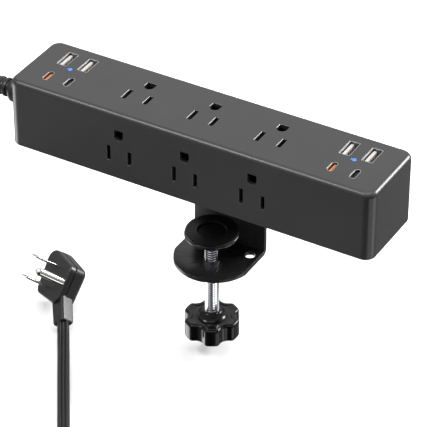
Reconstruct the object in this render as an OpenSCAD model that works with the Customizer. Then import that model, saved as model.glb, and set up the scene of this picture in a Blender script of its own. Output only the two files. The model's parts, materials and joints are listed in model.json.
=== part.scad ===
// Clamp-on desk power strip. Millimetres, +X along the strip, +Y to the rear, +Z up.
// The origin is on the face that sits on the desk top, centred under the housing.

/* [Housing] */
// Length of the housing
body_l = 218; // [200:1:240]
// Depth of the housing, front to rear
body_d = 47.5; // [47:0.5:52]
// Height of the housing
body_h = 40.5; // [40:0.5:44]
// Radius of the upright corners of the housing
corner_r = 6; // [4:0.5:8]
// Rounding of the housing's top edges
edge_r = 1.8; // [1:0.2:2.2]
// Wall thickness of the cover
wall = 2.4; // [2:0.1:2.6]
// Thickness of the base plate
base_t = 2.5; // [2.4:0.1:3]

/* [Outlets] */
// Distance between neighbouring outlets
outlet_pitch = 40; // [38:0.5:42]
// Distance between the two blade slots
blade_gap = 12.7; // [12.6:0.1:12.8]
// Distance from the blade slots to the earth hole
earth_gap = 12.3; // [11.9:0.1:12.5]
// Length of the neutral slot
neutral_slot = 9; // [8:0.5:9.5]
// Length of the line slot
line_slot = 8; // [7:0.5:8.5]
// Width of both slots
slot_w = 2.2; // [1.8:0.1:2.4]
// Height of the front blade slots above the housing's underside
front_slot_up = 14.8; // [14:0.2:15.4]
// Setback of the top blade slots in front of the centre line
top_slot_back = 4; // [3.6:0.1:4.4]

/* [USB ports] */
// Distance from the centre to each group of ports
usb_x = 85.4; // [84:0.2:87]
// Distance between the two ports of a pair
usb_pitch = 13; // [12:0.5:14]
// Place of the rectangular ports behind the centre line
usb_a_y = 9.2; // [8:0.2:10]
// Place of the oval ports in front of the centre line
usb_c_y = 9.8; // [9:0.2:11]
// Diameter of the indicator lens
lens_d = 2.8; // [2:0.2:3]

/* [Clamp] */
// Width of the clamp bracket
clamp_w = 44; // [40:1:48]
// Thickness of the bracket's steel
plate_t = 2.5; // [2:0.1:3]
// Thickness of the rubber liner that sits on the desk
liner_t = 1; // [0.8:0.1:1.5]
// Height of the open jaw between the desk face and the lower plate
jaw_h = 51.5; // [50:0.5:56]
// Place of the screw behind the centre line
screw_y = 4.8; // [4:0.2:6]
// Diameter of the pressure pad
pad_d = 30; // [26:1:32]
// Depth of the pad's face below the desk face, as stored
pad_down = 32.8; // [32.6:0.1:36]
// Diameter over the knob's lobes
knob_d = 31.8; // [28:0.2:34]
// Height of the knob's rim
knob_h = 11; // [10:0.5:12]

/* [Mains lead] */
// Height of the gland above the housing's underside
gland_up = 20.2; // [20:0.2:21]

/* [Hidden] */
$fn = 48;
hull_fn = 32;
gap = 0.1;
cut = 1;

// Housing levels
base_z = liner_t + plate_t;
top_z = base_z + body_h;
inner_l = body_l - 2 * wall;
inner_d = body_d - 2 * wall;
floor_z = base_z + base_t;
ceiling_z = top_z - wall;
inner_r = corner_r - wall;

// Outlets: each face has its own place for the blade slots
outlet_x = [-outlet_pitch, 0, outlet_pitch];
blade_u = blade_gap / 2;
front_slot_z = base_z + front_slot_up;
rear_slot_z = top_z - front_slot_up;
earth_r = 2.7;
earth_flat = 3.3;
earth_hole_v = earth_gap - 0.3;

// Carriers and contacts, measured in from the outlet's face
carrier_top = wall + gap;
carrier_end = 11;
carrier_l = 116;
carrier_low = 7.8;
carrier_high = 16.4;
leaf_t = 0.5;
leaf_start = 6;
strip_start = 11.2;
strip_end = 11.8;
clip_gap = 1.7;
earth_clip_gap = 5.1;
strip_l = 100;
pocket_w = 3.6;
pocket_l = 9.6;
earth_pocket_w = 6.8;
earth_pocket_low = 9;
earth_pocket_rim = 0.4;
line_leaf = [-3.6, 1];
line_strip = [-3.6, -1.5];
neutral_leaf = [-1, 4];
neutral_strip = [1.5, 4];
earth_leaf = [10.2, 15.9];
earth_strip = [15, 15.9];

// Supply wires and the block they end in
wire_r = 1.1;
wire_in_x = -104;
terminal_x = [-61, -51];
terminal_yz = [9, 18, 29];
wire_pitch = 4;
terminal_bore = 6;
wire_seated = 4;

// Protection board on the floor of the housing
board_low = [-44, -10, 2.5];
board_high = [-4, 10, 3.6];
disc_at = [-38, -5, 3.7];
disc_pitch = 12;
disc_r = 4;
disc_h = 4;
fuse_at = [-40, 5, 6];
fuse_r = 2;
fuse_l = 24;

// Screws that close the housing
post_r = 2.8;
post_xy = [for (x = [62.5, 103], sx = [-1, 1], sy = [-1, 1]) [sx * x, sy * 17.4]];
case_screw_r = 1.25;
case_head_r = 2.6;
case_head_h = 1.4;
case_screw_top = 18;
case_slot = [3, 0.7, 1.4];
bracket_screw_r = 1.5;
bracket_screw_l = 6.5;
bracket_head_r = 3.6;
bracket_head_h = 1.3;
bracket_hole_r = 2.1;
bracket_sink_r = 3.8;

// USB groups
board_z = 28;
board_t = 1.6;
port_base_z = board_z + board_t;
usb_a_l = 13.1;
usb_a_w = 5.9;
usb_a_wall = 0.35;
usb_c_l = 9;
usb_c_w = 3.3;
usb_c_wall = 0.35;
tongue_drop = 1;
lens_y = 1.3;
lens_foot = 1;
board_half = [14.4, 17];
transformer_low = [-8, -16.5, -14.1];
transformer_high = [8, -6];
capacitor_at = [7, 9.5, -15.1];
capacitor_r = 4;
capacitor_h = 15;
usb_a_foot = [5, 12.2, 2];
usb_a_tongue_x = [-2.1, -0.2];
usb_a_tongue_l = 11.2;
usb_c_tongue_size = [0.9, 6.6];
usb_c_foot = [2.2, 5.2, 2];

// Clamp levels
seat_z = 0;
plate_z = -jaw_h;
wall_y = body_d / 2 + plate_t;
arc_y = screw_y + 3;
arc_r = clamp_w / 2 + 0.5;
bend_r = 3.5;
rod_r = 4;
rod_clear = 0.05;
fixing_xy = [[-16.5, 17.6], [16.5, 17.6]];
fixing_r = 3;
bracket_screw_xy = [for (x = [-14, 14], y = [-5, 15]) [x, y]];
pad_z = -pad_down;
facing_t = 1.2;
pad_rim_t = 2.4;
pad_hub_h = 8;
knob_low_z = pad_z - 68.2;
knob_high_z = knob_low_z + knob_h;
hub_high_z = knob_high_z + 3.5;
knob_lobes = 6;
scallop_r = 5.2;
scallop_out = 2.4;
knob_hub_r = [9, 5.4];
rod_in_knob = 2;
neck_r = 2.5;
retainer_r = 4.6;
retainer_h = 1.6;
retainer_down = 4.3;
recess_r = 7.2;
recess_down = 4.6;
pad_hub_r = [6, 11];

// Mains lead: it lies on a level just under the knob's lowest reach
ground_z = -112;
cord_d = 6.8;
cord_r = cord_d / 2;
cord_z = ground_z + cord_r;
gland_y = -4;
gland_z = base_z + gland_up;
gland_l = 11;
relief_l = 27;
coil_xy = [-132, -117];
strand = 6.9;
coil_r = 38;
coil_layer = 6;
plug_xyz = [-92.4, -5, ground_z + 15.7];
plug_lean = 48;
plug_pitch = 20;
plug_heading = 34;
plug_t = 12;
plug_nose = 19;
plug_side = 15;
plug_tail = 16;
stem_l = 13;
blade_l = 17;
pin_l = 19;
cord_feed_route = [
    [-147, -4, 23.7], [-155, -4, 23.5], [-163, -4, 21], [-170.5, -4.5, 15], [-175.5, -5, 6],
    [-178.5, -6, -6], [-180, -6.5, -20], [-180, -7, -36], [-180, -8, -52], [-180, -11, -68],
    [-180, -18, -82], [-179.5, -29, -94], [-179, -43, -102.5], [-178, -58, -107], [-177.5, -74, -108.6],
    [-177, -90, -108.6], [-177, -104, -108.6], [-177, -117, -108.6]];
cord_tail_route = [
    [-132, -158.5, -102.6], [-120, -159, -102.8], [-108, -160, -104.5], [-94, -161, -107.4],
    [-80, -161.2, -108.6], [-67, -161, -108.6], [-49.7, -161, -108.6], [-38.5, -159, -108.6],
    [-28.7, -153.2, -108.6], [-21.6, -144.3, -108.6], [-18, -133.5, -108.6],
    [-18.4, -122.1, -108.6], [-22.8, -111.6, -108.6], [-30.9, -99.1, -108.6], [-39, -86.6, -108.6],
    [-47.1, -74.1, -108.6], [-55.2, -61.6, -108.6], [-63.2, -49.1, -108.6],
    [-68.4, -41.1, -108.35], [-73, -34, -107.2], [-78.7, -25.3, -105.2]];

// ---- shared shapes ----

// Column with a rounded top edge, for the corners of the housing
module rounded_column(r, e, z0, z1) {
    translate([0, 0, z0])
        rotate_extrude($fn = 64)
            polygon(concat([[0, 0], [r, 0]],
                [for (a = [0:15:90]) [r - e + e * cos(a), z1 - z0 - e + e * sin(a)]],
                [[0, z1 - z0]]));
}

// Block with rounded upright corners and a rounded top edge
module rounded_block(l, d, r, e, z0, z1) {
    hull()
        for (sx = [-1, 1], sy = [-1, 1])
            translate([sx * (l / 2 - r), sy * (d / 2 - r), 0])
                rounded_column(r, e, z0, z1);
}

module rounded_slab(l, d, r, z0, t) {
    translate([0, 0, z0])
        linear_extrude(t)
            hull()
                for (sx = [-1, 1], sy = [-1, 1])
                    translate([sx * (l / 2 - r), sy * (d / 2 - r)])
                        circle(r, $fn = 64);
}

module box_between(low, high) {
    translate(low)
        cube(high - low);
}

// Places its children on an outlet: x along the strip, y towards the earth hole, z outwards
module on_top(x) {
    translate([x, -top_slot_back, top_z])
        children();
}

module on_front(x) {
    translate([x, -body_d / 2, front_slot_z])
        rotate([90, 0, 0])
            children();
}

module on_rear(x) {
    translate([x, body_d / 2, rear_slot_z])
        rotate([-90, 0, 0])
            children();
}

module earth_outline() {
    polygon(concat([for (a = [180:15:360]) earth_r * [cos(a), sin(a)]],
        [[earth_r, earth_flat], [-earth_r, earth_flat]]));
}

// Slots and earth hole of one outlet, cut through the wall
module outlet_cut() {
    translate([-blade_u, 0, -wall / 2])
        cube([slot_w, neutral_slot, wall + 2 * cut], center = true);
    translate([blade_u, 0, -wall / 2])
        cube([slot_w, line_slot, wall + 2 * cut], center = true);
    translate([0, earth_hole_v, -wall - cut])
        linear_extrude(wall + 2 * cut)
            earth_outline();
}

module oval(l, w, h) {
    linear_extrude(h)
        hull()
            for (s = [-1, 1])
                translate([0, s * (l - w) / 2])
                    circle(w / 2, $fn = hull_fn);
}

// ---- housing ----

module cover() {
    color("#3b3b3d")
        difference() {
            rounded_block(body_l, body_d, corner_r, edge_r, base_z, top_z);
            difference() {
                rounded_slab(inner_l, inner_d, inner_r, base_z - cut, ceiling_z - base_z + cut);
                for (p = post_xy)
                    translate([p[0], p[1], floor_z])
                        cylinder(r = post_r, h = ceiling_z - floor_z + cut);
            }
            for (p = post_xy)
                translate([p[0], p[1], base_z])
                    cylinder(r = case_screw_r + rod_clear, h = case_screw_top + cut - base_z);
            for (x = outlet_x) {
                on_top(x) outlet_cut();
                on_front(x) outlet_cut();
                on_rear(x) outlet_cut();
            }
            for (g = [-usb_x, usb_x]) {
                for (s = [-1, 1])
                    translate([g + s * usb_pitch / 2, usb_a_y, ceiling_z + wall / 2])
                        cube([usb_a_w + 2 * gap, usb_a_l + 2 * gap, wall + cut], center = true);
                translate([g, lens_y, ceiling_z - cut])
                    cylinder(d = lens_d + gap, h = wall + 2 * cut);
            }
            for (x = [-usb_x, usb_x], s = [-1, 1])
                translate([x + s * usb_pitch / 2, -usb_c_y, ceiling_z - cut])
                    oval(usb_c_l + 2 * gap, usb_c_w + 2 * gap, wall + 2 * cut);
            translate([-body_l / 2 - cut, gland_y, gland_z])
                rotate([0, 90, 0])
                    cylinder(r = 5, h = wall + 2 * cut);
        }
}

module base_plate() {
    color("#2b2b2d")
        difference() {
            rounded_slab(inner_l - 2 * gap, inner_d - 2 * gap, inner_r - gap, base_z, base_t);
            for (p = post_xy)
                translate([p[0], p[1], base_z - cut]) {
                    cylinder(r = case_screw_r + gap, h = base_t + 2 * cut);
                    cylinder(r = case_head_r + gap, h = case_head_h + gap + cut);
                }
            for (p = bracket_screw_xy)
                translate([p[0], p[1], base_z - cut])
                    cylinder(r = bracket_screw_r + gap, h = base_t + 2 * cut);
        }
}

module case_screws() {
    color("#6c6c70")
        for (p = post_xy)
            translate([p[0], p[1], base_z + gap])
                difference() {
                    union() {
                        cylinder(r = case_head_r, h = case_head_h);
                        cylinder(r = case_screw_r, h = case_screw_top - base_z);
                    }
                    for (a = [0, 90])
                        rotate([0, 0, a])
                            cube(case_slot, center = true);
                }
}

// ---- outlets ----

module carrier() {
    difference() {
        box_between([-carrier_l / 2, -carrier_low, -carrier_end],
            [carrier_l / 2, carrier_high, -carrier_top]);
        for (x = outlet_x) {
            for (s = [-1, 1])
                translate([x + s * blade_u, 0, -carrier_end / 2])
                    cube([pocket_w, pocket_l, carrier_end + cut], center = true);
            box_between([x - earth_pocket_w / 2, earth_pocket_low, -carrier_end - cut],
                [x + earth_pocket_w / 2, carrier_high - earth_pocket_rim, 0]);
        }
    }
}

// Two spring leaves of one contact, with a gap for the blade or pin
module leaves(gap_w, leaf) {
    for (s = [-1, 1])
        translate([s * (gap_w + leaf_t) / 2, (leaf[0] + leaf[1]) / 2, -(leaf_start + strip_end) / 2])
            cube([leaf_t, leaf[1] - leaf[0], strip_end - leaf_start], center = true);
}

module bus(u, gap_w, leaf, strip) {
    for (x = outlet_x)
        translate([x + u, 0, 0])
            leaves(gap_w, leaf);
    box_between([-strip_l / 2, strip[0], -strip_end], [strip_l / 2, strip[1], -strip_start]);
}

module line_bus() {
    color("#b98a3e")
        bus(blade_u, clip_gap, line_leaf, line_strip);
}

module neutral_bus() {
    color("#b98a3e")
        bus(-blade_u, clip_gap, neutral_leaf, neutral_strip);
}

module earth_bus() {
    color("#c49a55")
        bus(0, earth_clip_gap, earth_leaf, earth_strip);
}

module top_carrier() {
    color("#2a2a2c") on_top(0) carrier();
}

module front_carrier() {
    color("#2a2a2c") on_front(0) carrier();
}

module rear_carrier() {
    color("#2a2a2c") on_rear(0) carrier();
}

module top_line_bus() { on_top(0) line_bus(); }
module top_neutral_bus() { on_top(0) neutral_bus(); }
module top_earth_bus() { on_top(0) earth_bus(); }
module front_line_bus() { on_front(0) line_bus(); }
module front_neutral_bus() { on_front(0) neutral_bus(); }
module front_earth_bus() { on_front(0) earth_bus(); }
module rear_line_bus() { on_rear(0) line_bus(); }
module rear_neutral_bus() { on_rear(0) neutral_bus(); }
module rear_earth_bus() { on_rear(0) earth_bus(); }

// ---- wiring and protection ----

module terminal_block() {
    color("#e3e1da")
        difference() {
            box_between([terminal_x[0], -terminal_yz[0], terminal_yz[1]],
                [terminal_x[1], terminal_yz[0], terminal_yz[2]]);
            for (i = [-1, 0, 1])
                translate([terminal_x[0] - cut, gland_y + (i + 1) * wire_pitch, gland_z])
                    rotate([0, 90, 0])
                        cylinder(r = wire_r + gap, h = terminal_bore + cut);
        }
}

module supply_wire(i, shade) {
    color(shade)
        translate([wire_in_x, gland_y + (i + 1) * wire_pitch, gland_z])
            rotate([0, 90, 0])
                cylinder(r = wire_r, h = terminal_x[0] + wire_seated - wire_in_x);
}

module line_wire() { supply_wire(-1, "#1c1c1c"); }
module neutral_wire() { supply_wire(0, "#e8e8e4"); }
module earth_wire() { supply_wire(1, "#2f7d3b"); }

module surge_board() {
    color("#2e6b3a")
        translate([0, 0, floor_z])
            box_between(board_low, board_high);
}

module surge_discs() {
    color("#2456a6")
        for (i = [0:2])
            translate([disc_at[0] + disc_pitch * i, disc_at[1], floor_z + disc_at[2]])
                cylinder(r = disc_r, h = disc_h);
}

module thermal_fuse() {
    color("#c9c5bb")
        translate([fuse_at[0], fuse_at[1], floor_z + fuse_at[2]])
            rotate([0, 90, 0])
                cylinder(r = fuse_r, h = fuse_l);
}

// ---- USB ports ----

module at_groups() {
    for (x = [-usb_x, usb_x])
        translate([x, 0, 0])
            children();
}

module at_usb_a() {
    at_groups()
        for (s = [-1, 1])
            translate([s * usb_pitch / 2, usb_a_y, port_base_z])
                children();
}

module at_usb_c(s) {
    at_groups()
        translate([s * usb_pitch / 2, -usb_c_y, port_base_z])
            children();
}

module usb_boards() {
    color("#2e6b3a")
        at_groups()
            box_between([-board_half[0], -board_half[1], board_z],
                [board_half[0], board_half[1], board_z + board_t - 0.05]);
}

module charger_transformers() {
    color("#d9b23c")
        at_groups()
            box_between([transformer_low[0], transformer_low[1], board_z + transformer_low[2]],
                [transformer_high[0], transformer_high[1], board_z - gap]);
}

module charger_capacitors() {
    color("#303a4a")
        at_groups()
            for (s = [-1, 1])
                translate([s * capacitor_at[0], capacitor_at[1], board_z + capacitor_at[2]])
                    cylinder(r = capacitor_r, h = capacitor_h);
}

module usb_a_shells() {
    color("#c9c9cb")
        at_usb_a()
            difference() {
                translate([0, 0, (top_z - port_base_z) / 2])
                    cube([usb_a_w, usb_a_l, top_z - port_base_z], center = true);
                translate([0, 0, (top_z - port_base_z) / 2])
                    cube([usb_a_w - 2 * usb_a_wall, usb_a_l - 2 * usb_a_wall, top_z], center = true);
            }
}

// Insulating foot with the contact tongue on the left of the port
module usb_a_tongues() {
    color("#e4e2dc")
        at_usb_a() {
            translate([0, 0, usb_a_foot[2] / 2])
                cube(usb_a_foot, center = true);
            box_between([usb_a_tongue_x[0], -usb_a_tongue_l / 2, usb_a_foot[2]],
                [usb_a_tongue_x[1], usb_a_tongue_l / 2, top_z - port_base_z - tongue_drop]);
        }
}

module usb_c_shells() {
    color("#d5d5d7")
        for (s = [-1, 1])
            at_usb_c(s)
                difference() {
                    oval(usb_c_l, usb_c_w, top_z - port_base_z);
                    translate([0, 0, -cut])
                        oval(usb_c_l - 2 * usb_c_wall, usb_c_w - 2 * usb_c_wall, top_z);
                }
}

module usb_c_tongue() {
    tongue_h = top_z - port_base_z - tongue_drop;
    translate([0, 0, tongue_h / 2])
        cube([usb_c_tongue_size[0], usb_c_tongue_size[1], tongue_h], center = true);
    translate([0, 0, usb_c_foot[2] / 2])
        cube(usb_c_foot, center = true);
}

module fast_port_tongues() {
    color("#d9701e") at_usb_c(-1) usb_c_tongue();
}

module plain_port_tongues() {
    color("#1d1d1f") at_usb_c(1) usb_c_tongue();
}

module indicator_lenses() {
    color("#2f8fe0")
        at_groups()
            translate([0, lens_y, port_base_z + lens_foot])
                cylinder(d = lens_d, h = top_z - port_base_z - lens_foot);
}

// ---- clamp ----

// Side view of the folded steel: upper plate, upright and lower plate
module bracket_profile() {
    difference() {
        translate([-40, plate_z - plate_t])
            square([40 + wall_y, base_z - plate_z + plate_t]);
        translate([-40 - cut, plate_z])
            square([40 + cut + wall_y - plate_t, liner_t - plate_z]);
        for (z = [plate_z - plate_t + bend_r, base_z - bend_r])
            difference() {
                translate([wall_y - bend_r, z < 0 ? z - bend_r - cut : z])
                    square([bend_r + cut, bend_r + cut]);
                translate([wall_y - bend_r, z])
                    circle(bend_r);
            }
    }
}

module bracket() {
    color("#1f1f21")
        difference() {
            translate([-clamp_w / 2, 0, 0])
                rotate([90, 0, 90])
                    linear_extrude(clamp_w)
                        bracket_profile();
            difference() {
                box_between([-clamp_w, -60, plate_z - plate_t - cut], [clamp_w, arc_y, base_z + cut]);
                translate([0, arc_y, plate_z - 2 * plate_t])
                    cylinder(r = arc_r, h = jaw_h + 20, $fn = 96);
            }
            translate([0, screw_y, plate_z - plate_t - cut])
                cylinder(r = rod_r + rod_clear, h = plate_t + 2 * cut);
            for (p = fixing_xy)
                translate([p[0], p[1], plate_z - plate_t - cut])
                    cylinder(r = fixing_r, h = plate_t + 2 * cut);
            for (p = bracket_screw_xy)
                translate([p[0], p[1], liner_t - cut]) {
                    cylinder(r = bracket_hole_r, h = plate_t + 2 * cut);
                    cylinder(r = bracket_sink_r, h = bracket_head_h + gap + cut);
                }
        }
}

module bracket_liner() {
    color("#161617")
        translate([0, 0, seat_z])
            intersection() {
                box_between([-clamp_w / 2 + 1, -40, 0], [clamp_w / 2 - 1, body_d / 2 - 1.2, liner_t]);
                translate([0, arc_y, 0])
                    cylinder(r = arc_r - 1.2, h = liner_t, $fn = 96);
            }
}

module bracket_screws() {
    color("#55565a")
        for (p = bracket_screw_xy)
            translate([p[0], p[1], liner_t])
                difference() {
                    union() {
                        cylinder(r = bracket_head_r, h = bracket_head_h);
                        cylinder(r = bracket_screw_r, h = bracket_screw_l);
                    }
                    translate([0, 0, -cut])
                        cylinder(r = 1.5, h = 1.6, $fn = 6);
                }
}

// Rod from the knob up to the pad, with a round neck and a head inside the pad
module threaded_rod() {
    color("#c4c5c8")
        translate([0, screw_y, 0]) {
            translate([0, 0, knob_low_z + rod_in_knob])
                cylinder(r = rod_r, h = pad_z - pad_hub_h - knob_low_z - rod_in_knob - 0.3);
            translate([0, 0, pad_z - pad_hub_h - 1])
                cylinder(r = neck_r, h = pad_hub_h - 2.2);
        }
}

module knob() {
    color("#161617")
        translate([0, screw_y, 0])
            difference() {
                union() {
                    translate([0, 0, knob_low_z])
                        cylinder(r = knob_d / 2, h = knob_h, $fn = 96);
                    translate([0, 0, knob_high_z])
                        cylinder(r1 = knob_hub_r[0], r2 = knob_hub_r[1], h = hub_high_z - knob_high_z);
                }
                for (i = [0:knob_lobes - 1])
                    rotate([0, 0, (i + 0.5) * 360 / knob_lobes])
                        translate([knob_d / 2 + scallop_out, 0, knob_low_z - cut])
                            cylinder(r = scallop_r, h = knob_h + 2 * cut);
                translate([0, 0, knob_low_z + rod_in_knob])
                    cylinder(r = rod_r, h = knob_h + 10);
            }
}

module pressure_pad() {
    color("#18181a")
        translate([0, screw_y, 0])
            difference() {
                union() {
                    translate([0, 0, pad_z - facing_t - pad_rim_t])
                        cylinder(d = pad_d, h = pad_rim_t);
                    translate([0, 0, pad_z - pad_hub_h])
                        cylinder(r1 = pad_hub_r[0], r2 = pad_hub_r[1], h = pad_hub_h - facing_t - pad_rim_t);
                }
                translate([0, 0, pad_z - pad_hub_h - cut])
                    cylinder(r = neck_r + rod_clear, h = pad_hub_h + cut);
                translate([0, 0, pad_z - recess_down])
                    cylinder(r = recess_r, h = recess_down + cut);
            }
}

module pad_facing() {
    color("#101011")
        translate([0, screw_y, pad_z - facing_t])
            difference() {
                cylinder(d = pad_d - 0.8, h = facing_t);
                translate([0, 0, -cut])
                    cylinder(r = 7.8, h = facing_t + 2 * cut);
            }
}

// Riveted head that keeps the pad on the rod's neck
module pad_retainer() {
    color("#8e8f93")
        translate([0, screw_y, pad_z - retainer_down])
            difference() {
                cylinder(r = retainer_r, h = retainer_h);
                translate([0, 0, -cut])
                    cylinder(r = neck_r, h = cut + 1.1);
            }
}

// ---- mains lead ----

function unit(v) = v / norm(v);
function heading(p, i) = unit(p[min(i + 1, len(p) - 1)] - p[max(i - 1, 0)]);
function carried(side, along) = unit(side - (side * along) * along);
function sides(p, first) = [for (i = 0, s = carried(first, heading(p, 0));
    i < len(p);
    i = i + 1, s = carried(s, heading(p, min(i, len(p) - 1)))) s];

// Tube swept along a route, with a ring of flat-sided section at every point
module tube(route, first_side, r, n) {
    side = sides(route, first_side);
    rings = len(route);
    ring_points = [for (i = [0:rings - 1], k = [0:n - 1])
        route[i] + r * cos(360 * k / n) * side[i]
            + r * sin(360 * k / n) * cross(heading(route, i), side[i])];
    walls = [for (i = [0:rings - 2], k = [0:n - 1], half = [0, 1])
        let (a = i * n + k, b = i * n + (k + 1) % n)
            half == 0 ? [a, b, b + n] : [a, b + n, a + n]];
    low_end = [[for (k = [0:n - 1]) n - 1 - k]];
    high_end = [[for (k = [0:n - 1]) (rings - 1) * n + k]];
    polyhedron(ring_points, concat(low_end, walls, high_end), convexity = 6);
}

module along_gland() {
    translate([-body_l / 2, gland_y, gland_z])
        rotate([0, -90, 0])
            children();
}

module cord_gland() {
    color("#19191a")
        along_gland()
            difference() {
                union() {
                    rotate_extrude()
                        polygon(concat([[0, 0.05], [7, 0.05]],
                            [for (a = [0:15:90]) [4.5 + 2.5 * cos(a), gland_l - 2.5 + 2.5 * sin(a)]],
                            [[0, gland_l]]));
                    translate([0, 0, -wall - 2])
                        cylinder(r = 4.9, h = wall + 3);
                    translate([0, 0, -wall - 2])
                        cylinder(r = 6.4, h = 1.8);
                }
                translate([0, 0, -wall - 3])
                    cylinder(r = 4, h = 6);
            }
}

module strain_relief() {
    color("#1b1b1c")
        along_gland()
            translate([0, 0, gland_l]) {
                cylinder(r1 = 4.7, r2 = 3.9, h = relief_l);
                for (i = [0:5])
                    translate([0, 0, 2 + 4 * i])
                        cylinder(r1 = 5.3 - 0.12 * i, r2 = 5.2 - 0.12 * i, h = 2.2);
            }
}

module cord_feed() {
    color("#202022") tube(cord_feed_route, [0, 1, 0], cord_r, 10);
}

module cord_tail() {
    color("#202022") tube(cord_tail_route, [0, 1, 0], cord_r, 10);
}

// Outer shape of the wound turns: three beside each other and two on top
module cord_coil() {
    color("#242426")
        translate([coil_xy[0], coil_xy[1], ground_z])
            rotate_extrude($fn = 72)
                polygon([
                    [coil_r - strand - cord_r, 0], [coil_r + strand + cord_r, 0],
                    [coil_r + strand + cord_r, 5], [coil_r + strand / 2 + cord_r, cord_d + coil_layer - 1],
                    [coil_r + strand / 2 + cord_r - 1, cord_d + coil_layer],
                    [coil_r - strand / 2 - cord_r + 1, cord_d + coil_layer],
                    [coil_r - strand / 2 - cord_r, cord_d + coil_layer - 1],
                    [coil_r - strand - cord_r, 5]]);
}

module cord_tie() {
    color("#111112")
        translate([coil_xy[0], coil_xy[1], ground_z])
            rotate([0, 0, 60])
                difference() {
                    box_between([coil_r - 11.6, -6, 0], [coil_r + 11.6, 6, cord_d + coil_layer + 1]);
                    box_between([coil_r - 10.6, -7, 0.8], [coil_r + 10.6, 7, cord_d + coil_layer + 0.1]);
                }
}

module on_plug() {
    translate(plug_xyz)
        rotate([0, 0, plug_heading])
            rotate([plug_pitch, 0, 0])
                rotate([0, -plug_lean, 0])
                    children();
}

// Flat diamond body: the blades stand out of its +Z side and the lead leaves along -Y
module plug_body() {
    color("#252527")
        on_plug() {
            hull() {
                translate([0, plug_nose - 6, -plug_t / 2 + 1])
                    cylinder(r = 6, h = plug_t - 1, $fn = hull_fn);
                for (s = [-1, 1])
                    translate([s * (plug_side - 5), 0, -plug_t / 2])
                        cylinder(r = 5, h = plug_t, $fn = hull_fn);
                translate([0, -plug_tail + 5, -plug_t / 2 + 1])
                    cylinder(r = 5, h = plug_t - 2, $fn = hull_fn);
            }
            hull() {
                translate([0, -plug_tail + 6, 0])
                    cube([9.6, 2, 9], center = true);
                translate([0, -plug_tail - stem_l + 1, 0])
                    cube([9, 2, 8.2], center = true);
            }
        }
}

module on_plug_face() {
    on_plug()
        translate([0, 1, plug_t / 2])
            rotate([0, 0, 45])
                children();
}

module plug_blades() {
    color("#c8c9cc")
        on_plug_face()
            for (s = [-1, 1])
                translate([s * blade_u, 2, 0])
                    difference() {
                        translate([-0.75, -3.2, 0.02])
                            cube([1.5, 6.4, blade_l]);
                        translate([-2, 0, blade_l - 4.5])
                            rotate([0, 90, 0])
                                cylinder(r = 1.5, h = 4);
                    }
}

module plug_earth_pin() {
    color("#c8c9cc")
        on_plug_face()
            translate([0, 2 - 11.9, 0.02]) {
                cylinder(r = 2.4, h = pin_l - 2.4);
                translate([0, 0, pin_l - 2.4])
                    sphere(r = 2.4);
            }
}

cover();
base_plate();
case_screws();
top_carrier();
front_carrier();
rear_carrier();
top_line_bus();
top_neutral_bus();
top_earth_bus();
front_line_bus();
front_neutral_bus();
front_earth_bus();
rear_line_bus();
rear_neutral_bus();
rear_earth_bus();
terminal_block();
line_wire();
neutral_wire();
earth_wire();
surge_board();
surge_discs();
thermal_fuse();
usb_boards();
charger_transformers();
charger_capacitors();
usb_a_shells();
usb_a_tongues();
usb_c_shells();
fast_port_tongues();
plain_port_tongues();
indicator_lenses();
bracket();
bracket_liner();
bracket_screws();
threaded_rod();
knob();
pressure_pad();
pad_facing();
pad_retainer();
cord_gland();
strain_relief();
cord_feed();
cord_coil();
cord_tie();
cord_tail();
plug_body();
plug_blades();
plug_earth_pin();
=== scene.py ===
"""Looks for the clamp-on desk power strip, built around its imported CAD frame."""
import json
import math

import bmesh
import bpy
from mathutils import Matrix, Vector


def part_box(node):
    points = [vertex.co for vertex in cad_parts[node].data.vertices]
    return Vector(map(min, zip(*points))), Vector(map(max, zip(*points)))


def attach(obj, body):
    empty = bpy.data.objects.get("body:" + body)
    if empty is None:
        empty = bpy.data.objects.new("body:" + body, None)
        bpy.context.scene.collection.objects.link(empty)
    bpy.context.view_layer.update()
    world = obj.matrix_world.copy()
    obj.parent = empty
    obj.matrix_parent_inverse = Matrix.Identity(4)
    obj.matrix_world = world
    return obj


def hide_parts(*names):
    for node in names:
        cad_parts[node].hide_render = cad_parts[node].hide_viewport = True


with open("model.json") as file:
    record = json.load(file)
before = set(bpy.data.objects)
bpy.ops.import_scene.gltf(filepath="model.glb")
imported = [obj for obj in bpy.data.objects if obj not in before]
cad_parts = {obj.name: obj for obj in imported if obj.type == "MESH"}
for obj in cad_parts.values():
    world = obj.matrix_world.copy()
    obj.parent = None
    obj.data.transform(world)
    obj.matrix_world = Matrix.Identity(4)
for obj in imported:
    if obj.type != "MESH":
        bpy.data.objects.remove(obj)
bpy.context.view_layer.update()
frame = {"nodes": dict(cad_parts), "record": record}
MM = 0.001


def box_mm(node):
    """Lowest and highest corner of a CAD node, in millimetres."""
    low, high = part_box(node)
    return low / MM, high / MM


# ---------------------------------------------------------------- camera

CAMERA_AT = Vector((0.5624, -0.9634, 0.7725))
CAMERA_FORWARD = Vector((-0.40906, 0.70549, -0.57875))
CAMERA_UP = Vector((-0.2906, 0.5005, 0.8155))
CAMERA_LENS = 216
SENSOR_WIDTH = 36
CLIP_NEAR, CLIP_FAR = 0.05, 20


def make_camera():
    data = bpy.data.cameras.new("camera")
    camera = bpy.data.objects.new("camera", data)
    bpy.context.scene.collection.objects.link(camera)
    back = -CAMERA_FORWARD.normalized()
    right = CAMERA_UP.cross(back).normalized()
    up = back.cross(right)
    turn = Matrix((right, up, back)).transposed().to_4x4()
    camera.matrix_world = Matrix.Translation(CAMERA_AT) @ turn
    data.lens = CAMERA_LENS
    data.sensor_width = SENSOR_WIDTH
    data.clip_start, data.clip_end = CLIP_NEAR, CLIP_FAR
    bpy.context.scene.camera = camera


make_camera()

# ---------------------------------------------------------------- outlines


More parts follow.
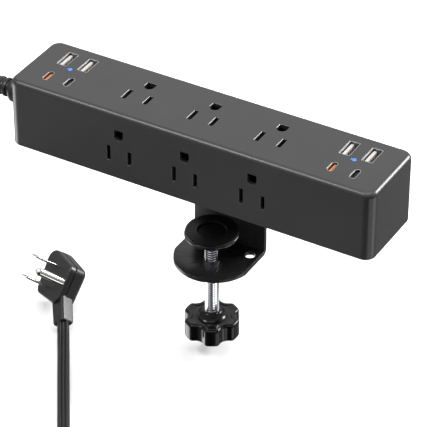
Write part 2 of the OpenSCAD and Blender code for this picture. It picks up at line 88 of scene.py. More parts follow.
def arc(cx, cy, r, start, end, steps):
    """Points of an arc between two angles in degrees, both ends included."""
    return [(cx + r * math.cos(math.radians(start + (end - start) * i / steps)),
             cy + r * math.sin(math.radians(start + (end - start) * i / steps)))
            for i in range(steps + 1)]


def circle(r, steps):
    angles = [2 * math.pi * k / steps for k in range(steps)]
    return [(r * math.cos(a), r * math.sin(a)) for a in angles]


def rounded_rect(half_x, half_y, r, steps):
    """Outline of a rounded rectangle, counter-clockwise."""
    points = []
    for sx, sy, start in ((1, 1, 0), (-1, 1, 90), (-1, -1, 180), (1, -1, 270)):
        points += arc(sx * (half_x - r), sy * (half_y - r), r, start, start + 90, steps)
    return points


def offset_outline(points, d):
    """Outline moved inwards by d along its own normals."""
    moved_points = []
    n = len(points)
    for i in range(n):
        before, after = Vector(points[i - 1]), Vector(points[(i + 1) % n])
        along = after - before
        if along.length < 1e-9:
            moved_points.append(points[i])
            continue
        along.normalize()
        moved_points.append((points[i][0] - along.y * d, points[i][1] + along.x * d))
    return moved_points


def at_height(points, z):
    return [(x, y, z) for x, y in points]


def hull_of_circles(circles, step):
    """Convex outline around (x, y, radius) circles, one point for each step of the angle in degrees."""
    outline = []
    for degrees in range(0, 360, step):
        a = math.radians(degrees)
        d = Vector((math.cos(a), math.sin(a)))
        best = max(circles, key=lambda c: c[0] * d.x + c[1] * d.y + c[2])
        outline.append((best[0] + best[2] * d.x, best[1] + best[2] * d.y))
    return outline


def smoothstep(low, high, x):
    t = min(1.0, max(0.0, (x - low) / (high - low)))
    return t * t * (3 - 2 * t)


def turned(degrees, axis):
    return Matrix.Rotation(math.radians(degrees), 4, axis)


# ---------------------------------------------------------------- solids, as (points, faces) in millimetres


def loft(rings, closed_ring=True, cap_start=True, cap_end=True):
    """Skin through rings that have the same number of points."""
    n = len(rings[0])
    verts = [p for ring in rings for p in ring]
    faces = []
    last = n if closed_ring else n - 1
    for i in range(len(rings) - 1):
        for k in range(last):
            a, b = i * n + k, i * n + (k + 1) % n
            faces.append((a, b, b + n, a + n))
    if cap_start:
        faces.append(tuple(reversed(range(n))))
    if cap_end:
        faces.append(tuple(range((len(rings) - 1) * n, len(rings) * n)))
    return verts, faces


def loop_loft(rings):
    """Skin through rings that ends where it began."""
    return loft(rings + rings[:1], cap_start=False, cap_end=False)


def join(*parts):
    verts, faces = [], []
    for v, f in parts:
        base = len(verts)
        verts += list(v)
        faces += [tuple(i + base for i in face) for face in f]
    return verts, faces


def moved(part, matrix):
    return [matrix @ Vector(v) for v in part[0]], part[1]


def lathe(profile, segments=72):
    """Solid of revolution about Z from (radius, z) points. A closed profile makes a ring."""
    rings = [at_height(circle(r, segments), z) for r, z in profile]
    return loft(rings, cap_start=profile[0][0] > 0, cap_end=profile[-1][0] > 0)


# ---------------------------------------------------------------- meshes and objects

MERGE_DISTANCE = 2e-6
DEGENERATE_EDGE = 1e-6


def mesh_of(name, part):
    """Cleaned mesh of a solid, in metres."""
    mesh = bpy.data.meshes.new(name)
    mesh.from_pydata([tuple(Vector(v) * MM) for v in part[0]], [], part[1])
    b = bmesh.new()
    b.from_mesh(mesh)
    bmesh.ops.remove_doubles(b, verts=b.verts, dist=MERGE_DISTANCE)
    bmesh.ops.dissolve_degenerate(b, edges=b.edges, dist=DEGENERATE_EDGE)
    bmesh.ops.recalc_face_normals(b, faces=b.faces)
    b.to_mesh(mesh)
    b.free()
    return mesh


def linked(name, data):
    obj = bpy.data.objects.new(name, data)
    bpy.context.scene.collection.objects.link(obj)
    return obj


def add_object(name, mesh, body, material_slot, smooth):
    """New piece that rides on a body, shaded smooth below an angle in degrees."""
    obj = linked(name, mesh)
    mesh.shade_smooth()
    mesh.set_sharp_from_angle(angle=math.radians(smooth))
    weighted = obj.modifiers.new("weighted", "WEIGHTED_NORMAL")
    weighted.keep_sharp = True
    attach(obj, body)
    mesh.materials.clear()
    mesh.materials.append(MATERIALS[material_slot])
    return obj


def add_piece(name, part, body, material_slot, smooth):
    return add_object(name, mesh_of(name, part), body, material_slot, smooth)


def carve(name, solid, cutter_part):
    """Mesh of one solid with another cut out of it."""
    blank = linked(name + "_blank", mesh_of(name + "_blank", solid))
    cutter_obj = linked(name + "_cuts", mesh_of(name + "_cuts", cutter_part))
    cut = blank.modifiers.new("cut", "BOOLEAN")
    cut.operation = "DIFFERENCE"
    cut.solver = "EXACT"
    cut.object = cutter_obj
    bpy.context.view_layer.update()
    made = bpy.data.meshes.new_from_object(blank.evaluated_get(bpy.context.evaluated_depsgraph_get()))
    bpy.data.objects.remove(cutter_obj)
    bpy.data.objects.remove(blank)
    return made


# ---------------------------------------------------------------- materials

MATERIALS = {}
NOISE_LOW, NOISE_HIGH = 0.3, 0.7
CLOUD_DETAIL, GRAIN_DETAIL = 4.0, 2.0
ROUGHNESS_SPREAD = 0.05
GRAIN_DISTANCE = 0.0002
COAT_ROUGHNESS = 0.1


def start_material(slot):
    mat = bpy.data.materials.new(slot)
    mat.use_nodes = True
    nodes, links = mat.node_tree.nodes, mat.node_tree.links
    MATERIALS[slot] = mat
    return nodes, links, nodes["Principled BSDF"], nodes.new("ShaderNodeTexCoord")


def noise_node(nodes, links, coords, scale, detail):
    node = nodes.new("ShaderNodeTexNoise")
    node.inputs["Scale"].default_value = scale
    node.inputs["Detail"].default_value = detail
    links.new(coords.outputs["Object"], node.inputs["Vector"])
    return node


def colour_ramp(nodes, links, shader, noise, dark, light):
    """Base colour that runs from dark to light with a noise."""
    ramp = nodes.new("ShaderNodeValToRGB")
    for element, colour in zip(ramp.color_ramp.elements, (dark, light)):
        element.color = (*colour, 1)
    links.new(noise.outputs["Fac"], ramp.inputs["Fac"])
    links.new(ramp.outputs["Color"], shader.inputs["Base Color"])
    return ramp.color_ramp.elements


def bump_from(nodes, links, shader, height, strength, distance):
    bump = nodes.new("ShaderNodeBump")
    bump.inputs["Strength"].default_value = strength
    bump.inputs["Distance"].default_value = distance
    links.new(height, bump.inputs["Height"])
    links.new(bump.outputs["Normal"], shader.inputs["Normal"])


def finish_of(slot, dark, light, rough, grain=2600.0, depth=0.02, metallic=0.0, cloud=35.0,
              specular=0.5, coat=0.0):
    """A finish with clouded colour, clouded gloss and a fine grain in the surface."""
    nodes, links, shader, coords = start_material(slot)
    clouds = noise_node(nodes, links, coords, cloud, CLOUD_DETAIL)
    fine = noise_node(nodes, links, coords, grain, GRAIN_DETAIL)
    first, last = colour_ramp(nodes, links, shader, clouds, dark, light)
    first.position, last.position = NOISE_LOW, NOISE_HIGH
    gloss = nodes.new("ShaderNodeMapRange")
    for socket, value in (("From Min", NOISE_LOW), ("From Max", NOISE_HIGH),
                          ("To Min", rough - ROUGHNESS_SPREAD), ("To Max", rough + ROUGHNESS_SPREAD)):
        gloss.inputs[socket].default_value = value
    links.new(fine.outputs["Fac"], gloss.inputs["Value"])
    links.new(gloss.outputs["Result"], shader.inputs["Roughness"])
    bump_from(nodes, links, shader, fine.outputs["Fac"], depth, GRAIN_DISTANCE)
    for socket, value in (("Metallic", metallic), ("Specular IOR Level", specular),
                          ("Coat Weight", coat), ("Coat Roughness", COAT_ROUGHNESS)):
        shader.inputs[socket].default_value = value
    return shader


def grey(value):
    """A grey with a slight cast of blue."""
    return (value, value, value * 1.04)


def make_materials():
    finish_of("housing_plastic", grey(0.0145), grey(0.0175), 0.34, depth=0.05, specular=0.42)
    finish_of("base_plastic", grey(0.014), grey(0.018), 0.5, depth=0.12, specular=0.3)
    finish_of("zinc_steel", grey(0.45), grey(0.6), 0.28, metallic=1.0, cloud=400.0)
    finish_of("carrier_plastic", grey(0.003), grey(0.004), 0.6, specular=0.1)
    finish_of("white_plastic", (0.6, 0.59, 0.55), (0.68, 0.67, 0.63), 0.45)
    finish_of("contact_brass", (0.3, 0.2, 0.07), (0.42, 0.29, 0.1), 0.4, metallic=1.0, cloud=300.0)
    finish_of("black_wire", grey(0.012), grey(0.018), 0.4)
    finish_of("white_wire", (0.6, 0.6, 0.58), (0.7, 0.7, 0.68), 0.4)
    finish_of("green_wire", (0.02, 0.18, 0.04), (0.03, 0.24, 0.06), 0.4)
    finish_of("circuit_board", (0.01, 0.09, 0.025), (0.015, 0.13, 0.04), 0.35, cloud=500.0)
    finish_of("blue_ceramic", (0.02, 0.08, 0.3), (0.03, 0.11, 0.4), 0.3, cloud=300.0)
    finish_of("yellow_tape", (0.6, 0.4, 0.04), (0.7, 0.5, 0.07), 0.35, cloud=200.0)
    finish_of("capacitor_sleeve", (0.02, 0.03, 0.05), (0.03, 0.04, 0.07), 0.25, cloud=200.0)
    finish_of("port_steel", grey(0.42), grey(0.52), 0.3, metallic=1.0, cloud=900.0, grain=9000.0)
    finish_of("port_white", (0.33, 0.31, 0.3), (0.4, 0.38, 0.36), 0.5, cloud=600.0)
    finish_of("port_orange", (0.42, 0.1, 0.01), (0.5, 0.14, 0.016), 0.5, cloud=600.0, specular=0.2)
    finish_of("port_black", grey(0.003), grey(0.005), 0.45, specular=0.2)
    finish_of("black_steel", grey(0.006), grey(0.008), 0.3, grain=1400.0, depth=0.02, specular=0.3)
    finish_of("pad_rubber", grey(0.003), grey(0.005), 0.34, depth=0.05, specular=0.2)
    finish_of("pad_plastic", grey(0.003), grey(0.005), 0.22, depth=0.03, specular=0.4)
    finish_of("knob_plastic", grey(0.002), grey(0.003), 0.17, depth=0.03, specular=0.2)
    finish_of("gland_plastic", grey(0.006), grey(0.009), 0.36, depth=0.06, specular=0.4)
    finish_of("cord_jacket", grey(0.006), grey(0.009), 0.36, depth=0.05, specular=0.3)
    finish_of("plug_plastic", grey(0.007), grey(0.010), 0.34, depth=0.06, specular=0.4)
    finish_of("threaded_steel", grey(0.9), grey(0.97), 0.1, metallic=1.0, cloud=700.0, depth=0.03)
    finish_of("plated_blades", (0.66, 0.65, 0.63), (0.8, 0.79, 0.77), 0.2, metallic=1.0, cloud=500.0,
              depth=0.03)
    make_lens_material()
    make_strap_material()


def make_lens_material():
    shader = finish_of("blue_lens", (0.002, 0.1, 0.4), (0.004, 0.15, 0.55), 0.2, cloud=900.0, coat=0.5)
    shader.inputs["Emission Color"].default_value = (0.0, 0.22, 1.0, 1)
    shader.inputs["Emission Strength"].default_value = 0.2


def make_strap_material():
    """Hook-and-loop strap: a woven ground with short loops."""
    nodes, links, shader, coords = start_material("tie_strap")
    height = noise_node(nodes, links, coords, 3200.0, CLOUD_DETAIL)
    colour_ramp(nodes, links, shader, height, grey(0.006), grey(0.022))
    height = height.outputs["Fac"]
    for direction in ("X", "Z"):
        wave = nodes.new("ShaderNodeTexWave")
        wave.bands_direction = direction
        wave.inputs["Scale"].default_value = 320
        wave.inputs["Distortion"].default_value = 1.5
        links.new(coords.outputs["Object"], wave.inputs["Vector"])
        add = nodes.new("ShaderNodeMath")
        links.new(height, add.inputs[0])
        links.new(wave.outputs["Fac"], add.inputs[1])
        height = add.outputs["Value"]
    bump_from(nodes, links, shader, height, 0.4, 0.0003)
    shader.inputs["Roughness"].default_value = 0.85
    shader.inputs["Sheen Weight"].default_value = 0.3


make_materials()

# ---------------------------------------------------------------- mains lead

GROUND = -112.0
CORD_D = 6.8
CORD_R = CORD_D / 2
LEAD_HALF_H = 3.3
SPAN_STEPS = 4
LEAD_EXIT = (-147, -4, 23.7)
FEED_ROUTE = [
    LEAD_EXIT, (-155, -4, 23.5), (-163, -4, 21), (-170.5, -4.5, 15), (-175.5, -5, 6),
    (-178.5, -6, -6), (-180, -6.5, -20), (-180, -7, -36), (-180, -8, -52), (-180, -11, -68),
    (-180, -18, -82), (-179.5, -29, -94), (-179, -43, -102.5), (-178, -58, -107), (-177.5, -74, -108.6),
    (-177, -90, -108.6), (-177, -104, -108.6), (-177, -117, -108.6)]
TAIL_ROUTE = [
    (-132, -158.5, -102.6), (-120, -159, -102.8), (-108, -160, -104.5), (-94, -161, -107.4),
    (-80, -161.2, -108.6), (-67, -161, -108.6), (-49.7, -161, -108.6), (-38.5, -159, -108.6),
    (-28.7, -153.2, -108.6), (-21.6, -144.3, -108.6), (-18, -133.5, -108.6),
    (-18.4, -122.1, -108.6), (-22.8, -111.6, -108.6), (-30.9, -99.1, -108.6), (-39, -86.6, -108.6),
    (-47.1, -74.1, -108.6), (-55.2, -61.6, -108.6), (-63.2, -49.1, -108.6),
    (-68.4, -41.1, -108.35), (-73, -34, -107.2), (-78.7, -25.3, -105.2)]
TWIST_START, TWIST_END = 0.3, 0.75
COIL_CENTRE = Vector((-132, -117, 0))
COIL_R = 45
COIL_PITCH = 7
COIL_TURNS = 5.25
TURN_STEPS = 48
HALF_SHIFT = 0.12
CLIMB = 2.66
COIL_LIFT = 6.0
CROSSING_LIFT, HALF_CROSSING = 0.7, 0.14


def catmull(points):
    """Smooth curve through the points."""
    p = [Vector(q) for q in points]
    curve = []
    for i in range(len(p) - 1):
        before = p[i - 1] if i else p[0] * 2 - p[1]
        after = p[i + 2] if i + 2 < len(p) else p[-1] * 2 - p[-2]
        for k in range(SPAN_STEPS):
            t = k / SPAN_STEPS
            curve.append(0.5 * ((2 * p[i]) + (p[i + 1] - before) * t
                                + (2 * before - 5 * p[i] + 4 * p[i + 1] - after) * t * t
                                + (3 * p[i] - before - 3 * p[i + 1] + after) * t ** 3))
    curve.append(p[-1])
    return curve


def coil_point(u):
    """Point of the winding after u turns: three turns on the floor, then two in the valleys on them."""
    radius = COIL_R
    for turn, way in ((1, -1), (2, -1), (4, 1)):
        radius += way * COIL_PITCH * smoothstep(turn - HALF_SHIFT, turn + HALF_SHIFT, u)
    radius += COIL_PITCH / 2 * smoothstep(CLIMB, CLIMB + 0.26, u)
    lift = COIL_LIFT * smoothstep(CLIMB, CLIMB + 0.22, u)
    for crossing in (3.0, 4.0, 5.0):
        lift += CROSSING_LIFT * max(0.0, 1 - abs(u - crossing) / HALF_CROSSING)
    angle = math.pi + 2 * math.pi * u
    return COIL_CENTRE + Vector((radius * math.cos(angle), radius * math.sin(angle), GROUND + CORD_R + lift))


def lead_path():
    steps = int(COIL_TURNS * TURN_STEPS)
    coil = [coil_point(COIL_TURNS * i / steps) for i in range(1, steps)]
    return catmull(FEED_ROUTE), coil, catmull(TAIL_ROUTE)


def lead_section():
    """Flat three-core section: three rounded cores side by side with grooves between them."""
    core_r, pitch = 1.95, 2.42
    outer_steps, middle_steps = 12, 5
    groove = math.degrees(math.acos(pitch / 2 / core_r))
    points = []
    for centre, start, end, steps in ((pitch, groove - 180, 180 - groove, outer_steps),
                                      (0, groove, 180 - groove, middle_steps),
                                      (-pitch, groove, 360 - groove, outer_steps),
                                      (0, 180 + groove, 360 - groove, middle_steps)):
        points += arc(centre, 0, core_r, start, end, steps)[:-1]
    wide, high = CORD_R / (core_r + pitch), LEAD_HALF_H / core_r
    return [(x * wide, y * high) for x, y in points]


def heading(path, i):
    return path[min(i + 1, len(path) - 1)] - path[max(i - 1, 0)]


def sweep(path, sides, section):
    """Skin of a section carried along a path; sides gives the section's own X at each point."""
    rings = []
    for i, p in enumerate(path):
        along = heading(path, i).normalized()
        side = sides[i] - along * sides[i].dot(along)
        side.normalize()
        up = along.cross(side)
        rings.append([p + side * x + up * y for x, y in section])
    return loft(rings)


def make_lead():
    feed, coil, tail = lead_path()
    sides = []
    for i in range(len(feed)):
        turn = smoothstep(TWIST_START, TWIST_END, i / len(feed))
        sides.append(Vector((-turn, 1 - turn, 0)))
    for p in coil:
        outward = p - COIL_CENTRE
        sides.append(Vector((outward.x, outward.y, 0)))
    for i in range(len(tail)):
        along = heading(tail, i)
        sides.append(Vector((along.y, -along.x, 0)))
    path = feed + coil + tail
    obj = add_piece("mains_lead", sweep(path, sides, lead_section()), "strip", "cord_jacket", 60)
    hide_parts("cord_feed", "cord_coil", "cord_tail")
    length = sum((b - a).length for a, b in zip(path, path[1:])) * MM
    return obj, path, length


lead, lead_points, lead_length = make_lead()

# ---------------------------------------------------------------- tie

TIE_ANGLE = 60
TIE_MIDDLE = 38
TIE_FOOT, TIE_TOP = 10.9, 7.4
TIE_HALF_W = 6.0
STRAP_T = 0.85
STRAP_INSET = 0.42
FOOT_ROUND, TOP_ROUND, ROUND_STEPS = 1.6, 2.6, 6
TAB_L, TAB_T, TAB_RISE, TAB_BULGE = 13, 0.55, 0.3, 0.08
TAB_STEPS, TAB_STRAIGHT_STEPS, TAB_TAPER = 8, 5, 0.9


def tie_outline(top):
    """Section across the winding: wide at the floor, narrower over the upper turns, round at the corners."""
    low, shoulder = 0.5, 5.2
    corners = [Vector(c) for c in ((-TIE_FOOT, low), (TIE_FOOT, low), (TIE_FOOT, shoulder),
                                   (TIE_TOP, top), (-TIE_TOP, top), (-TIE_FOOT, shoulder))]
    outline = []
    for i, c in enumerate(corners):
        before, after = corners[i - 1], corners[(i + 1) % len(corners)]
        r = FOOT_ROUND if i in (0, 1) else TOP_ROUND
        start = c + (before - c).normalized() * r
        end = c + (after - c).normalized() * r
        for k in range(ROUND_STEPS + 1):
            t = k / ROUND_STEPS
            p = start * (1 - t) ** 2 + c * 2 * t * (1 - t) + end * t * t
            outline.append((TIE_MIDDLE + p.x, p.y))
    return outline


def make_tie():
    """Strap around the winding, with a folded-back tab."""
    top = CORD_D + COIL_LIFT + 0.3
    outline = tie_outline(top)
    inner_edge, bevel = TIE_HALF_W - 0.3, 0.25
    rings = []
    for grow, edge in ((0.0, inner_edge), (0.0, -inner_edge), (bevel, -TIE_HALF_W),
                       (STRAP_T - bevel, -TIE_HALF_W), (STRAP_T, -inner_edge), (STRAP_T, inner_edge),
                       (STRAP_T - bevel, TIE_HALF_W), (bevel, TIE_HALF_W)):
        rings.append([(x, edge, z) for x, z in offset_outline(outline, STRAP_INSET - grow)])
    strap = loop_loft(rings)
    tab_rings = []
    for k in range(TAB_STEPS + 1):
        t = k / TAB_STEPS
        x = TIE_MIDDLE + TIE_TOP - 2 - TAB_L * t
        z = top + TAB_T + TAB_BULGE * math.sin(t * math.pi) + TAB_RISE * t
        w = TIE_HALF_W - max(0, k - TAB_STRAIGHT_STEPS) * TAB_TAPER
        tab_rings.append([(x, -w, z), (x, w, z), (x, w, z + TAB_T), (x, -w, z + TAB_T)])
    place = Matrix.Translation(COIL_CENTRE + Vector((0, 0, GROUND))) @ turned(TIE_ANGLE, "Z")
    obj = add_piece("lead_tie", moved(join(strap, loft(tab_rings)), place), "strip", "tie_strap", 50)
    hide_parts("cord_tie")
    return obj


tie = make_tie()

# ---------------------------------------------------------------- plug

BLADE_U = 6.35
EARTH_G = 11.9
PLUG_AT = Vector((-92.4, -5, -96.3))
PLUG_PLACE = Matrix.Translation(PLUG_AT) @ turned(34, "Z") @ turned(20, "X") @ turned(-48, "Y")
PLUG_HALF_T = 6.0
PLUG_FACE = PLUG_PLACE @ Matrix.Translation((0, 1, PLUG_HALF_T)) @ turned(45, "Z")
BLADE_Y = 2
BLADE_L = 17.0
BLADE_HALF_T = 0.75
BLADE_HOLE_R, BLADE_HOLE_Z = 1.5, 12.5
PIN_R = 2.4
PIN_L = 19.0


def make_plug():
    outline = hull_of_circles([(0, 13, 6), (10, 0, 5), (-10, 0, 5), (0, -11, 5)], 4)
    # (height, inset) from the back, over the groove between the two halves, to the face
    levels = [(-PLUG_HALF_T, 1.9), (-5.7, 1.1), (-5.1, 0.45), (-4.3, 0.1), (-3.6, 0.0), (1.1, 0.0),
              (1.3, 0.18), (1.45, 0.75), (1.85, 0.75), (2.0, 0.3), (2.25, 0.12), (5.0, 0.25),
              (5.6, 0.5), (5.9, 0.95), (PLUG_HALF_T, 1.6)]
    body = loft([at_height(offset_outline(outline, inset), z) for z, inset in levels])
    stem_rings = []
    for y, half_x, half_z, r in ((-8, 4.7, 4.3, 1.6), (-12, 4.8, 4.4, 1.6), (-17, 4.65, 4.25, 1.5),
                                 (-27.4, 4.5, 4.05, 1.3), (-28.2, 4.2, 3.8, 1.3), (-28.6, 3.7, 3.4, 1.3)):
        stem_rings.append([(x, y, z) for x, z in rounded_rect(half_x, half_z, r, 6)])
    moulding = moved(join(body, loft(stem_rings)), PLUG_PLACE)
    obj = add_piece("plug_moulding", moulding, "strip", "plug_plastic", 38)
    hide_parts("plug_body")
    return obj


def make_prongs():
    """The two flat blades, with a rounded tip and a hole near it."""
    blades, holes = [], []
    for x in (-BLADE_U, BLADE_U):
        rings = []
        for z, half_t, half_w in ((0.02, BLADE_HALF_T, 3.2), (14.6, BLADE_HALF_T, 3.2), (16.3, 0.62, 2.75),
                                  (16.9, 0.35, 2.3), (BLADE_L, 0.2, 2.1)):
            rings.append(at_height(rounded_rect(half_t, half_w, min(half_t * 0.6, 0.4), 4), z))
        blades.append(moved(loft(rings), Matrix.Translation((x, BLADE_Y, 0))))
        hole = lathe([(BLADE_HOLE_R, -2), (BLADE_HOLE_R, 2)], 32)
        holes.append(moved(hole, Matrix.Translation((x, BLADE_Y, BLADE_HOLE_Z)) @ turned(90, "Y")))
    made = carve("plug_prongs", moved(join(*blades), PLUG_FACE), moved(join(*holes), PLUG_FACE))
    obj = add_object("plug_prongs", made, "strip", "plated_blades", 30)
    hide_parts("plug_blades")
    return obj


def make_earth_pin():
    dome_z = PIN_L - PIN_R
    profile = [(0, 0.02), (PIN_R, 0.02), (PIN_R, 15.2)] + arc(0, dome_z, PIN_R, 0, 80, 8) + [(0, PIN_L)]
    place = PLUG_FACE @ Matrix.Translation((0, BLADE_Y - EARTH_G, 0))
    obj = add_piece("plug_pin", moved(lathe(profile, 48), place), "strip", "plated_blades", 40)
    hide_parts("plug_earth_pin")
    return obj


plug = make_plug()
prongs = make_prongs()
earth_pin = make_earth_pin()

# ---------------------------------------------------------------- gland and strain relief

COVER_LOW, COVER_HIGH = box_mm("cover")
GLAND_PLACE = Matrix.Translation((COVER_LOW.x, *LEAD_EXIT[1:])) @ turned(-90, "Y")
RIBS = 6
RIB_PITCH = 4
RIB_TAPER = 0.13
FIRST_RIB = 12.4
BOOT_START, BOOT_END = 10.2, 38.0


def make_gland():
    nose = [(4.5 + 2.45 * x, 8.5 + 2.5 * z) for x, z in arc(0, 0, 1, 0, 90, 9)]
    profile = [(4.0, -3.4), (6.4, -4.3), (6.4, -2.6), (4.9, -2.6), (4.9, 0.05), (6.6, 0.05), (6.9, 0.3),
               (7.0, 0.7), (7.0, 3.2), (6.75, 3.45), (6.75, 3.75), (6.95, 4.0), *nose,
               (4.5, 10.6), (4.0, 9.0), (4.0, -3.4)]
    obj = add_piece("lead_gland", moved(lathe(profile), GLAND_PLACE), "strip", "gland_plastic", 40)
    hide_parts("cord_gland")


def make_relief():
    """Tapered boot with soft ribs."""
    profile = [(0, BOOT_START), (4.6, BOOT_START), (4.7, 11.4)]
    for i in range(RIBS):
        z = FIRST_RIB + RIB_PITCH * i
        big, small = 5.25 - RIB_TAPER * i, 4.35 - RIB_TAPER * i
        profile += [(small, z), (small + 0.1, z + 0.35), (big - 0.15, z + 0.55), (big, z + 0.85),
                    (big, z + 2.1), (big - 0.15, z + 2.4), (small + 0.1, z + 2.6), (small, z + 2.95)]
    profile += [(3.95, 36.6), (3.85, 37.6), (3.5, BOOT_END), (0, BOOT_END)]
    obj = add_piece("lead_relief", moved(lathe(profile, 64), GLAND_PLACE), "strip", "gland_plastic", 50)
    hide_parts("strain_relief")
    return obj


make_gland()
relief = make_relief()

# ---------------------------------------------------------------- housing

BODY_L, BODY_D = COVER_HIGH.x - COVER_LOW.x, COVER_HIGH.y - COVER_LOW.y
BASE_Z, TOP_Z = COVER_LOW.z, COVER_HIGH.z
WALL = 2.4
ROUND = 3.0
CORNER = 6.0
MOUTH = 0.22
CUT_DEPTH, CUT_REACH = 3.4, 0.6
OUTLET_X = (-40.0, 0.0, 40.0)
OUTLET_TOP_Y = -4
OUTLET_SIDE_Z = 14.8
LINE_SLOT, NEUTRAL_SLOT = (1.1, 4.0), (1.1, 4.5)
GROUP_X = (-85.4, 85.4)
PORT_DX = 6.5
PORT_A_Y, PORT_C_Y, LAMP_Y = 9.2, -9.8, 1.3
PORT_A = [(g + s * PORT_DX, PORT_A_Y) for g in GROUP_X for s in (-1, 1)]
PORT_C_ORANGE = [(g - PORT_DX, PORT_C_Y) for g in GROUP_X]
PORT_C_BLACK = [(g + PORT_DX, PORT_C_Y) for g in GROUP_X]
PORT_BASE = 29.6
SHELL_T, SHELL_LIP = 0.35, 0.14


def cutter(outline):
    """Prism that cuts a hole from a face at z = 0, with a small chamfer at its mouth."""
    return loft([at_height(outline, -CUT_DEPTH), at_height(outline, -MOUTH),
                 at_height(offset_outline(outline, -MOUTH - CUT_REACH), CUT_REACH)])


def earth_outline():
    half_w, middle, top, bevel = 2.7, 12.0, 15.3, 0.3
    low = arc(0, middle, half_w, 180, 360, 20)
    return low[:-1] + [(half_w, middle), (half_w, top - bevel), (half_w - bevel, top),
                       (bevel - half_w, top), (-half_w, top - bevel)]


def outlet_cutters():
    parts = [moved(cutter(rounded_rect(*half, 0.25, 3)), Matrix.Translation((x, 0, 0)))
             for x, half in ((-BLADE_U, NEUTRAL_SLOT), (BLADE_U, LINE_SLOT))]
    return join(*parts, cutter(earth_outline()))


def cover_cuts():
    """Every opening of the housing: outlets on three faces, ports, lamps and the gland's hole."""
    outlet = outlet_cutters()
    faces = (Matrix.Translation((0, OUTLET_TOP_Y, TOP_Z)),
             Matrix.Translation((0, -BODY_D / 2, BASE_Z + OUTLET_SIDE_Z)) @ turned(90, "X"),
             Matrix.Translation((0, BODY_D / 2, TOP_Z - OUTLET_SIDE_Z)) @ turned(-90, "X"))
    cuts = [moved(outlet, Matrix.Translation((x, 0, 0)) @ face) for x in OUTLET_X for face in faces]
    for places, outline in ((PORT_A, rounded_rect(3.05, 6.65, 0.5, 4)),
                            (PORT_C_ORANGE + PORT_C_BLACK, rounded_rect(1.75, 4.6, 1.74, 10)),
                            ([(x, LAMP_Y) for x in GROUP_X], rounded_rect(1.45, 1.45, 1.44, 8))):
        cuts += [moved(cutter(outline), Matrix.Translation((x, y, TOP_Z))) for x, y in places]
    cuts.append(moved(lathe([(5.0, -4.0), (5.0, 1.0)], 48), GLAND_PLACE))
    return join(*cuts)


def make_cover():
    def ring(z, inset):
        return at_height(rounded_rect(BODY_L / 2 - inset, BODY_D / 2 - inset, CORNER - inset, 14), z)

    outer = [ring(BASE_Z, 0.35), ring(BASE_Z + 0.1, 0.1), ring(BASE_Z + 0.35, 0), ring(TOP_Z - ROUND, 0)]
    outer += [ring(z, ROUND - x) for x, z in arc(0, TOP_Z - ROUND, ROUND, 0, 90, 12)[1:]]
    inner = [ring(BASE_Z, 0.35), ring(BASE_Z, WALL), ring(TOP_Z - WALL, WALL)]
    solid = join(loft(outer, cap_start=False), loft(inner, cap_start=False))
    obj = add_object("cover_shell", carve("cover", solid, cover_cuts()), "strip", "housing_plastic", 32)
    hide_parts("cover")


def shell_part(outline):
    """Sheet-metal tube from the ports' base up to the housing's top, with a rounded lip."""
    rings = [at_height(offset_outline(outline, inset), z)
             for inset, z in ((0, PORT_BASE), (0, TOP_Z - SHELL_LIP),
                              (SHELL_LIP * 0.4, TOP_Z - SHELL_LIP * 0.3), (SHELL_T * 0.5, TOP_Z),
                              (SHELL_T - SHELL_LIP * 0.3, TOP_Z - SHELL_LIP * 0.3),
                              (SHELL_T, TOP_Z - SHELL_LIP), (SHELL_T, PORT_BASE))]
    return loop_loft(rings)


def block(low, high, r=0.12):
    """Block with rounded upright corners and a chamfered top."""
    cx, cy = (low[0] + high[0]) / 2, (low[1] + high[1]) / 2
    hx, hy = (high[0] - low[0]) / 2, (high[1] - low[1]) / 2
    outline = [(cx + x, cy + y) for x, y in rounded_rect(hx, hy, r, 3)]
    return loft([at_height(outline, low[2]), at_height(outline, high[2] - r),
                 at_height(offset_outline(outline, r * 0.7), high[2])])


def port_piece(name, parts, material_slot, node=None, smooth=40):
    obj = add_piece(name, join(*parts), "strip", material_slot, smooth)
    if node:
        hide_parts(node)


def make_rectangular_ports():
    shells, tongues, contacts = [], [], []
    for x, y in PORT_A:
        at = Matrix.Translation((x, y, 0))
        shells.append(moved(shell_part(rounded_rect(2.95, 6.55, 0.45, 4)), at))
        for middle in (-3.1, 3.1):
            spring = block((2.25, middle - 1.0, TOP_Z - 7.5), (2.62, middle + 1.0, TOP_Z - 2.2))
            shells.append(moved(spring, at))
        tongue = join(block((-2.5, -6.1, PORT_BASE), (2.5, 6.1, PORT_BASE + 2)),
                      block((-2.1, -5.6, PORT_BASE + 2), (-0.25, 5.6, TOP_Z - 1.0), 0.25))
        tongues.append(moved(tongue, at))
        for i in range(4):
            middle = -3.5 + i * 7 / 3
            contact = block((-0.3, middle - 0.5, TOP_Z - 9), (-0.12, middle + 0.5, TOP_Z - 1.8), 0.05)
            contacts.append(moved(contact, at))
    port_piece("port_a_shells", shells, "port_steel", "usb_a_shells")
    port_piece("port_a_tongues", tongues, "port_white", "usb_a_tongues")
    port_piece("port_a_contacts", contacts, "contact_brass")


def make_oval_ports():
    shell = shell_part(rounded_rect(1.65, 4.5, 1.64, 10))
    tongue = join(block((-0.55, -3.3, PORT_BASE), (0.55, 3.3, TOP_Z - 0.8), 0.2),
                  block((-1.2, -3.9, PORT_BASE), (1.2, 3.9, PORT_BASE + 7.5), 0.2))
    for name, places, part, slot, node in (
            ("port_c_shells", PORT_C_ORANGE + PORT_C_BLACK, shell, "port_steel", "usb_c_shells"),
            ("port_c_fast", PORT_C_ORANGE, tongue, "port_orange", "fast_port_tongues"),
            ("port_c_plain", PORT_C_BLACK, tongue, "port_black", "plain_port_tongues")):
        port_piece(name, [moved(part, Matrix.Translation((x, y, 0))) for x, y in places], slot, node)


